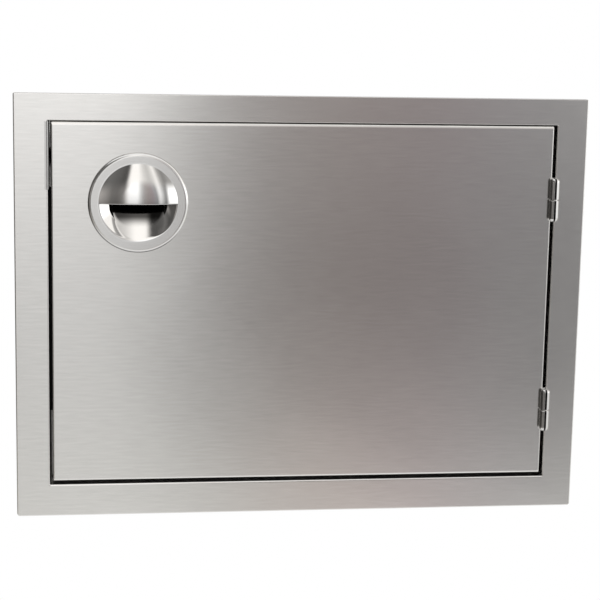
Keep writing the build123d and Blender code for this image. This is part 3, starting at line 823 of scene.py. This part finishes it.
# A folded pan with a round hole: every loop point is joined to the hole by a straight ray, the face
# fills the ray, then the profile bends back over the edge and returns one sheet inside.
def makeDoorSkin(part, centre):
    low, high = nodeBox("door_skin")
    high[2] += part["headReach"]
    sheet, inside, faceY, backY = part["sheet"], part["fold"], low[1], high[1]
    bend = np.array(part["bend"])
    deep = bend.mean()
    middle, half = frontView(low, high)
    turn = np.linspace(0, np.pi / 2, part["bendSteps"])
    rows = []  # how far along the ray, insets of the loop, depth

    def addRows(along, inset, depth):
        rows.append(np.column_stack(np.broadcast_arrays(along, *fourSides(inset), depth)))

    closed = tuple(side * (1 - np.sin(turn)) for side in bend)
    foldOut = sheet + inside * (1 - np.cos(turn))
    foldIn = sheet + inside * (1 - np.sin(turn))
    addRows(np.linspace(0, 1, part["faceSteps"]), tuple(bend + part["margin"]), faceY)
    addRows(1, closed, faceY + deep * (1 - np.cos(turn)))
    addRows(1, 0, np.linspace(faceY + deep, backY, part["returnSteps"])[1:])
    addRows(1, sheet, np.linspace(backY, faceY + sheet + inside, part["returnSteps"])[:-1])
    addRows(1, foldOut, faceY + foldIn)
    addRows(np.linspace(1, 0, part["backSteps"])[1:], sheet + inside, faceY + sheet)
    ray = insetLoop(middle, half, bend, leastCorner, part)[0] - centre
    hole = centre + part["hole"] * ray / np.linalg.norm(ray, axis=1)[:, None]
    points, flat = [], []
    for along, *insets, depth in np.concatenate(rows):
        rounds = max(part["corner"] - max(insets), leastCorner)
        loop, outward = insetLoop(middle, half, insets, rounds, part)
        loop = hole + (loop - hole) * along
        points.append(atDepth(loop, depth))
        flat.append(loop + outward * (depth - faceY))
    points, flat = np.array(points), np.array(flat)
    place = points[..., ::2]
    calm = 1.0
    for still, rise, away in (
        (*part["calmEdge"], (half - np.abs(place - middle)).min(-1)),
        (*part["calmPull"], np.linalg.norm(place - centre, axis=-1)),
    ):
        calm = calm * np.clip((away - still) / rise, 0, 1)
    points[..., 1] += calm * sheetWave(points[..., 0], points[..., 2], part["wave"])
    patch = {"points": points, "uv": flat, "wrapRows": True, "wrapCols": True}
    makePiece("doorSkinSheet", [patch], "door", "brushed_steel", ("door_skin",))


makeFaceFrame(frameSheet)
makeDoorSkin(doorSheet, pullCentre)
print("folded sheets made")

pullShape = {
    "ringEdge": 39.4, "rise": 2.4, "sheet": 1.2, "mouth": 30.4, "mouthRound": 0.5,
    "bevelAngle": 37.0, "stepAngle": 65.0, "stepStart": 22.6, "stepRound": 0.8,
    "floorRadius": 125.0, "floorTilt": 20.5, "floorEdgeDepth": -0.3, "floorShift": -3.0,
    "floorRound": (1.0, 3.0),  # at the foot and at the lip
    "floorFoot": 18.0,  # the foot lies this far below the middle
    "hoodRadius": 31.0, "crownRadius": 130.0, "crownHalf": 14.0, "shoulderRadius": 52.0,
    "hoodSheet": 1.2, "hoodDrop": 0.7,
    "turns": 256, "rollSteps": 10, "hoodGrid": (161, 40), "noseSteps": 11,
    "noseBright": 1,  # steps round the lip before the underside is rougher and painted dark as shade
    "frontSteps": ((0, 12, 8), (12, 29, 59), (29, 33, 27)),
    "backSteps": ((33.5, 12, 49), (12, 0, 5)),
    "ringSteps": (7, 5), "ringLap": 0.4,  # on the front and at the back
}


# The lesser of two depths, with a parabola of the given width across where they meet.
def softMin(first, second, width):
    share = np.clip(0.5 + 0.5 * (second - first) / width, 0, 1)
    return second + (first - second) * share - width * share * (1 - share)


# Even steps along stretches given by their starts, ends and counts, up to the end of the last.
def stretches(*parts):
    steps = [np.linspace(start, end, count, endpoint=False) for start, end, count in parts]
    return np.concatenate([*steps, [parts[-1][1]]])[None, :]


# Depth of the scoop below the ring: a wide bevel that turns into a steep step, or the floor, a wide
# cylinder leaning back, whichever is shallower; their meeting is rounded more towards the lip.
def scoopDepth(x, z, part, wall):
    angles = (part[key] for key in ("bevelAngle", "stepAngle", "floorTilt"))
    bevel, step, lean = (math.radians(angle) for angle in angles)
    reach = np.hypot(x, z)
    wide = (part["mouth"] - reach) * math.tan(bevel) + wall / math.cos(bevel)
    stepDepth = (part["mouth"] - part["stepStart"]) * math.tan(bevel)
    steep = stepDepth + (part["stepStart"] - reach) * math.tan(step) + wall / math.cos(step)
    side = -softMin(-wide, -steep, part["stepRound"])
    aside = x - part["floorShift"]
    bow = part["floorRadius"] - np.sqrt((part["floorRadius"] + wall) ** 2 - aside**2)
    dish = part["floorEdgeDepth"] + (part["mouth"] + z) * math.tan(lean) - bow / math.cos(lean)
    foot, lip = part["floorRound"]
    share = np.clip((z + part["floorFoot"]) / part["floorFoot"], 0, 1)
    return softMin(side, dish, foot + (lip - foot) * share**2 * (3 - 2 * share))


# Polar grid: the profile runs from the scoop's middle out to the ring, over the rolled edge and back
# behind to the middle; its depth at each angle is the scoop's, levelled off at the ring's face.
def makePullCup(part, centre):
    ringY = nodeBox("pull_cup")[0][1]
    edge, rise, sheet = part["ringEdge"], part["rise"], part["sheet"]
    turn = fullTurn(part["turns"])

    def scoop(reach, wall):
        x, z = reach * np.cos(turn), reach * np.sin(turn)
        depth = -softMin(-scoopDepth(x, z, part, wall), -wall + 0 * x, part["mouthRound"])
        return turnedPoints(centre, reach, ringY + depth, turn)

    frontRing, backRing = part["ringSteps"]
    frontEnd, backStart = part["frontSteps"][-1][1], part["backSteps"][0][0]
    front = stretches(*part["frontSteps"], (frontEnd, edge - rise, frontRing))
    lap = edge - sheet - part["ringLap"]
    back = stretches((lap, backStart, backRing), *part["backSteps"])
    roll = np.linspace(0, np.pi / 2, part["rollSteps"])[1:]
    rolled = np.append(edge - rise + rise * np.sin(roll), edge - sheet)[None, :]
    rollY = np.append(ringY + rise - rise * np.cos(roll), ringY + rise)[None, :]
    rim = turnedPoints(centre, rolled, rollY, turn)
    points = np.concatenate([scoop(front, 0), rim, scoop(back, sheet)], 1)
    patch = {"points": points, "wrapRows": True}
    makePiece("pullCupPressing", [patch], "door", "polished_steel", ("pull_cup",), sharp=50)


# Height of the hood above the ring: a shallow crown arc, then a tighter shoulder arc down to the rim.
def hoodHeight(reach, part, inset):
    crownRadius, shoulderRadius = part["crownRadius"], part["shoulderRadius"]
    lean = math.asin(part["crownHalf"] / crownRadius)
    middle = (crownRadius - shoulderRadius) * math.sin(lean)
    rim = part["hoodRadius"] - middle
    base = math.sqrt(shoulderRadius**2 - rim**2)
    crownBase = base + (crownRadius - shoulderRadius) * math.cos(lean)
    crown = np.sqrt(np.clip((crownRadius - inset) ** 2 - reach**2, 0, None)) - crownBase
    shoulder = np.sqrt(np.clip((shoulderRadius - inset) ** 2 - (reach - middle) ** 2, 0, None))
    return np.where(reach < part["crownHalf"], crown, shoulder - base)


# Columns step across the hood by the sine of an angle; each carries a closed profile: over the top to
# the lip, round it, and back under to the rim.
def makePullHood(part, centre):
    ringY = nodeBox("pull_cup")[0][1]
    lip, half = -part["hoodDrop"], part["hoodSheet"] / 2
    columns, steps = part["hoodGrid"]
    across = part["hoodRadius"] * np.sin(np.linspace(-np.pi / 2, np.pi / 2, columns))[:, None]
    top = np.sqrt(np.clip(part["hoodRadius"] ** 2 - across**2, 0, None))
    z = top + (lip + half - top) * np.linspace(0, 1, steps)[None, :]
    over = np.stack([across + 0 * z, -hoodHeight(np.hypot(across, z), part, 0), z], -1)
    zBack = z[:, ::-1]
    under = np.maximum(hoodHeight(np.hypot(across, zBack), part, part["hoodSheet"]), 0)
    below = np.stack([across + 0 * zBack, -under, zBack], -1)
    turn = np.linspace(0, np.pi, part["noseSteps"])[None, 1:-1]
    start, end = over[:, -1:, 1], below[:, :1, 1]
    nose = np.stack([
        across + 0 * turn, (start + end) / 2 + (start - end) / 2 * np.cos(turn),
        lip + half - half * np.sin(turn) + 0 * across,
    ], -1)
    points = np.concatenate([over, nose, below], 1) + (centre[0], ringY, centre[1])
    # marks the underside that is painted dark as shade
    dullShade = np.zeros(points.shape[:2] + (2,))
    dullShade[:, steps + part["noseBright"]:, 0] = 1
    makePiece(
        "pullHoodPressing", [{"points": points, "uv": dullShade, "wrapCols": True}], "door",
        "polished_steel", ("pull_hood",), sharp=50,
        material=polishedPull(polishLook, centre, "polishedHood", True),
    )


makePullCup(pullShape, pullCentre)
makePullHood(pullShape, pullCentre)
print("pull made")

hingeShape = {
    "radius": 3.7, "dome": 3.2, "bore": 2.25, "cap": 3.0, "edge": 0.25, "seam": 0.8, "seamHalf": 0.65,
    "leafFront": 4.1, "leafEdge": 0.15, "leafCorner": 1.5,
    "neckShare": 0.86, "neckGap": 0.4, "neckLap": 3.0, "neckCorner": 0.3,
    "turns": 144, "domeSteps": 13, "wallSteps": 16,
    "leaves": {
        "frame": {"split": -0.4, "plate": (0.2, 1.2)},
        "door": {"split": 0.5, "plate": (-1.2, -0.2)},
    },
}


# A half barrel turned about its axis: from the bore's end out over the split, up the wall and over an
# elliptic dome; along the front the radius drops with the fourth power of the distance to the seam.
def barrelPatch(part, axis, start, end):
    radius, edge, dome, bore = (part[key] for key in ("radius", "edge", "dome", "bore"))
    length = abs(end - start)
    lean = np.linspace(0, np.pi / 2, part["domeSteps"])[1:]
    reach = np.concatenate([
        [0, bore, bore, bore + edge, radius - edge], np.full(part["wallSteps"], radius),
        radius * np.cos(lean),
    ])[None, :]
    along = np.concatenate([
        [length - part["cap"]] * 2, [edge, 0, 0],
        np.linspace(edge, length - dome, part["wallSteps"]), length - dome + dome * np.sin(lean),
    ])[None, :]
    turn = np.linspace(-np.pi, np.pi, part["turns"], endpoint=False)[:, None]
    groove = np.exp(-((radius * turn / part["seamHalf"]) ** 4)) * (reach / radius) ** 6
    groove[:, :4] = 0  # none inside the bore
    reach = reach - part["seam"] * groove
    height = axis[2] + start + np.sign(end - start) * along + 0 * turn
    points = [axis[0] + reach * np.sin(turn), axis[1] - reach * np.cos(turn), height]
    return {"points": np.stack(points, -1), "wrapRows": True}


# A plate: its outline with round corners, carried through the thickness with softened edges and drawn
# together to the middle on both sides.
def slabPatch(low, high, corner, edge, sideSteps=8, cornerSteps=6):
    low, high = np.array(low), np.array(high)
    centre, half = (low[1:] + high[1:]) / 2, (high[1:] - low[1:]) / 2
    rows = []
    for x, inset, fill in (
        (low[0], edge, 0), (low[0], edge, 1), (low[0] + edge, 0, 1),
        (high[0] - edge, 0, 1), (high[0], edge, 1), (high[0], edge, 0),
    ):
        loop = roundedLoop(centre, half - inset, corner, sideSteps, cornerSteps)[0]
        loop = centre + (loop - centre) * fill
        rows.append(np.column_stack([np.full(len(loop), x), loop]))
    return {"points": np.array(rows), "wrapCols": True}


# A half barrel, the plate behind it and a neck between them that is as thick as the plate.
def makeHingeLeaf(part, level, body):
    name = f"{level}_hinge_{body}_leaf"
    low, high = nodeBox(name)
    leaf = part["leaves"][body]
    axis = np.array([low[0] + part["radius"], low[1] + part["radius"], (low[2] + high[2]) / 2])
    end = (high if leaf["split"] > 0 else low)[2] - axis[2]
    left, right = axis[0] + np.array(leaf["plate"])
    front, neckFront = axis[1] + part["leafFront"], axis[1] + part["bore"] + part["neckGap"]
    foot, head = sorted([axis[2] + leaf["split"], axis[2] + end * part["neckShare"]])
    neckHigh = (right, front + part["neckLap"], head)
    patches = [
        barrelPatch(part, axis, leaf["split"], end),
        slabPatch(
            (left, front, low[2]), (right, high[1], high[2]), part["leafCorner"], part["leafEdge"]
        ),
        slabPatch((left, neckFront, foot), neckHigh, part["neckCorner"], part["leafEdge"]),
    ]
    makePiece(f"{level}Hinge{body.capitalize()}Leaf", patches, body, "hinge_steel", (name,))


for level in ("upper", "lower"):
    for body in ("frame", "door"):
        makeHingeLeaf(hingeShape, level, body)
print("hinge leaves made")

sealShape = {
    "ribs": 3, "groove": 0.7, "shoulder": 0.5,
    "steps": 48, "backShares": (1, 0.67, 0.33), "lengthSteps": 60,
    "sides": {  # axis along, axis across, mitred at the start and at the end
        "top": (0, 2, 1, 1),
        "bottom": (0, 2, 1, 1),
        "left": (2, 0, 1, 0),
        "right": (2, 0, 1, 1),
    },
}


# Steps along a strip, its ends doubled, and how wide each is: nothing at the first and the last.
def closedRun(start, end, count):
    run = np.concatenate([[start], np.linspace(start, end, count), [end]])[:, None]
    fill = np.ones_like(run)
    fill[[0, -1]] = 0
    return run, fill


# A strip: its front is a cosine with one crest for each rib, lowered to a round shoulder at both
# edges; the profile is carried along it with the ends cut at 45 degrees and closed to the middle.
def makeSeal(part, side):
    along, across, startCut, endCut = part["sides"][side]
    low, high = nodeBox("seal_" + side)
    width, depth = high[across] - low[across], high[1] - low[1]
    share = np.linspace(0, 1, part["steps"] + 1)
    crest = depth - part["groove"] * (1 + np.cos(2 * np.pi * part["ribs"] * share)) / 2
    rim = np.clip(np.minimum(share, 1 - share) * width / part["shoulder"], 0, 1)
    crest = crest - part["shoulder"] * (1 - np.sqrt(1 - (1 - rim) ** 2))
    reach = np.concatenate([[0], share, part["backShares"]]) * width
    front = np.concatenate([[0], crest, np.zeros(len(part["backShares"]))])
    run, fill = closedRun(0, 1, part["lengthSteps"])
    reach = width / 2 + (reach - width / 2) * fill
    front = depth / 2 + (front - depth / 2) * fill
    first = low[along] + reach * startCut
    last = high[along] - reach * endCut
    points = np.empty(reach.shape + (3,))
    points[..., along] = first + (last - first) * run
    points[..., 1] = high[1] - front
    outer = low[across] if low[across] + high[across] < 0 else high[across]
    points[..., across] = outer - np.sign(outer) * reach
    patch = {"points": points, "wrapCols": True}
    makePiece(f"{side}SealStrip", [patch], "frame", "black_rubber", ("seal_" + side,), sharp=50)


shadeStrip = {
    "half": 91.0, "rise": 2.0, "inset": 0.4, "square": 0.5, "steps": 24, "lengthSteps": 40,
}


# A soft black strip on the bare edge of the left stop, put there as painted shade to darken the
# middle
# of the left gap: an arch whose height is a power of the sine, squared off, carried along and closed
# to the middle at both ends.
def makeShadeStrip(part):
    base = nodeBox("stop_left")[0]
    left, right = base[0] + part["inset"], nodeBox("seal_left")[0][0]
    middle, rise = (left + right) / 2, part["rise"]
    turn = np.linspace(0, np.pi, part["steps"] + 1)[None, :]
    run, fill = closedRun(-part["half"], part["half"], part["lengthSteps"])
    x = middle - (right - left) / 2 * np.cos(turn) * fill
    y = base[1] - rise / 2 - (rise * np.abs(np.sin(turn)) ** part["square"] - rise / 2) * fill
    patch = {"points": np.stack([x, y, run + 0 * turn], -1), "wrapCols": True}
    makePiece("leftShadeStrip", [patch], "frame", "black_rubber", sharp=50)


rivetShape = {
    "head": 3.0, "headDepth": 1.0, "rim": 0.2, "hole": 0.75, "holeLip": 0.12, "shank": 1.6,
    "shankEnd": 2.3, "bulb": 2.4, "bulbSwell": 0.15, "bulbEdge": 0.4, "crownSteps": 10, "turns": 48,
}


# Head, shank and bulb of a blind rivet: a quarter wave for the head round the mandrel's empty hole.
def makeRivets(part):
    low, high = nodeBox("strike_rivets")
    head, hole, shank, bulb = (part[key] for key in ("head", "hole", "shank", "bulb"))
    seat, brim, edge = high[1] - part["headDepth"], hole + part["rim"], part["bulbEdge"]
    lean = np.linspace(0, np.pi / 2, part["crownSteps"])
    crown = np.column_stack([
        brim + (head - brim) * np.sin(lean),
        seat + part["rim"] + (part["headDepth"] - part["rim"]) * np.cos(lean),
    ])
    back = seat - part["shankEnd"]
    profile = [
        (0, seat), (hole, seat), (hole, high[1] - part["holeLip"]), *crown, (head, seat),
        (shank, seat), (shank, back), (bulb, back - part["bulbSwell"]),
        (bulb, low[1] + edge), (bulb - edge, low[1]), (0, low[1]),
    ]
    reach, depth = np.array(profile).T[:, None, :]
    patches = []
    for z in (low[2] + head, high[2] - head):
        points = turnedPoints(((low[0] + high[0]) / 2, z), reach, depth, fullTurn(part["turns"]))
        patches.append({"points": points, "wrapRows": True})
    makePiece("strikeRivetPair", patches, "door", "fastener_steel", ("strike_rivets",))


screwShape = {
    "radius": 2.0, "head": 3.8, "sink": 1.8, "arm": 0.42, "reach": 1.9, "recess": 1.3, "soft": 0.07,
    "taper": 0.6, "pitch": 0.7, "thread": 0.22, "plain": 0.3, "tip": 0.4,
    "faceSteps": (0, 2.4, 40), "faceRing": 3.0, "headEdge": 0.1, "headWall": (0.08, 0.16),
    "shankSteps": 96, "turns": 144,
}


# Countersunk head with a cross recess: two soft bars multiplied into a depth that tapers outwards;
# the shank's radius falls and rises with the height and the turn together, which winds the thread.
def makeCatchScrew(part):
    low, high = nodeBox("catch_screw")
    centre = frontView(low, high)[0]
    head, plain = part["head"], part["plain"]
    turn = fullTurn(part["turns"])
    reach = [part["faceRing"], head - part["headEdge"]]
    reach = np.concatenate([np.linspace(*part["faceSteps"]), reach])[None, :]
    x, z = np.abs(reach * np.cos(turn)), np.abs(reach * np.sin(turn))
    narrow, wide = np.minimum(x, z), np.maximum(x, z)
    bars = 1 / (1 + np.exp((narrow - part["arm"]) / part["soft"]))
    bars = bars / (1 + np.exp((wide - part["reach"]) / part["soft"]))
    taper = (1 - part["taper"] * wide / part["reach"]).clip(0)
    start = low[1] + part["sink"]
    thread = np.linspace(start + plain, high[1] - plain, part["shankSteps"])[None, :]
    wind = np.mod(thread / part["pitch"] + turn / (2 * np.pi), 1)
    radius = part["radius"] - part["thread"] * (1 - np.abs(2 * wind - 1))
    tip = part["radius"] - part["tip"]
    radius = joinColumns(turn, reach, [head, head, part["radius"]], radius, [tip, 0])
    face = low[1] + part["recess"] * bars * taper
    wall = low[1] + np.array(part["headWall"])
    level = joinColumns(turn, face, [*wall, start], thread, [high[1], high[1]])
    patch = {"points": turnedPoints(centre, radius, level, turn), "wrapRows": True}
    makePiece("catchScrewCross", [patch], "frame", "fastener_steel", ("catch_screw",))


nutShape = {
    "flats": 7.0, "bore": 2.15, "boreEdge": 0.3, "chamfer": 0.55, "cone": 0.6,
    "steps": 24, "turns": 144,
}


# A hexagon: half the flats over the cosine of the angle to the nearest flat, cut by a cone at both
# faces.
def makeCatchNut(part):
    low, high = nodeBox("catch_nut")
    centre = frontView(low, high)[0]
    bore, edge, half = part["bore"], part["boreEdge"], part["flats"] / 2
    turn = fullTurn(part["turns"])
    hexagon = half / np.cos(np.mod(turn, np.pi / 3) - np.pi / 6)
    level = np.linspace(low[1], high[1], part["steps"])[None, :]
    cone = half + part["cone"] * np.minimum(level - low[1], high[1] - level) / part["chamfer"]
    wall = np.minimum(hexagon, cone)
    reach = joinColumns(turn, wall, [bore + edge, bore, bore, bore + edge])
    level = joinColumns(turn, level, [high[1], high[1] - edge, low[1] + edge, low[1]])
    points = turnedPoints(centre, reach, level, turn)
    patch = {"points": points, "wrapRows": True, "wrapCols": True}
    makePiece("catchNutHex", [patch], "frame", "fastener_steel", ("catch_nut",), sharp=25)


for side in sealShape["sides"]:
    makeSeal(sealShape, side)
makeShadeStrip(shadeStrip)
makeRivets(rivetShape)
makeCatchScrew(screwShape)
makeCatchNut(nutShape)
print("seals and fasteners made")
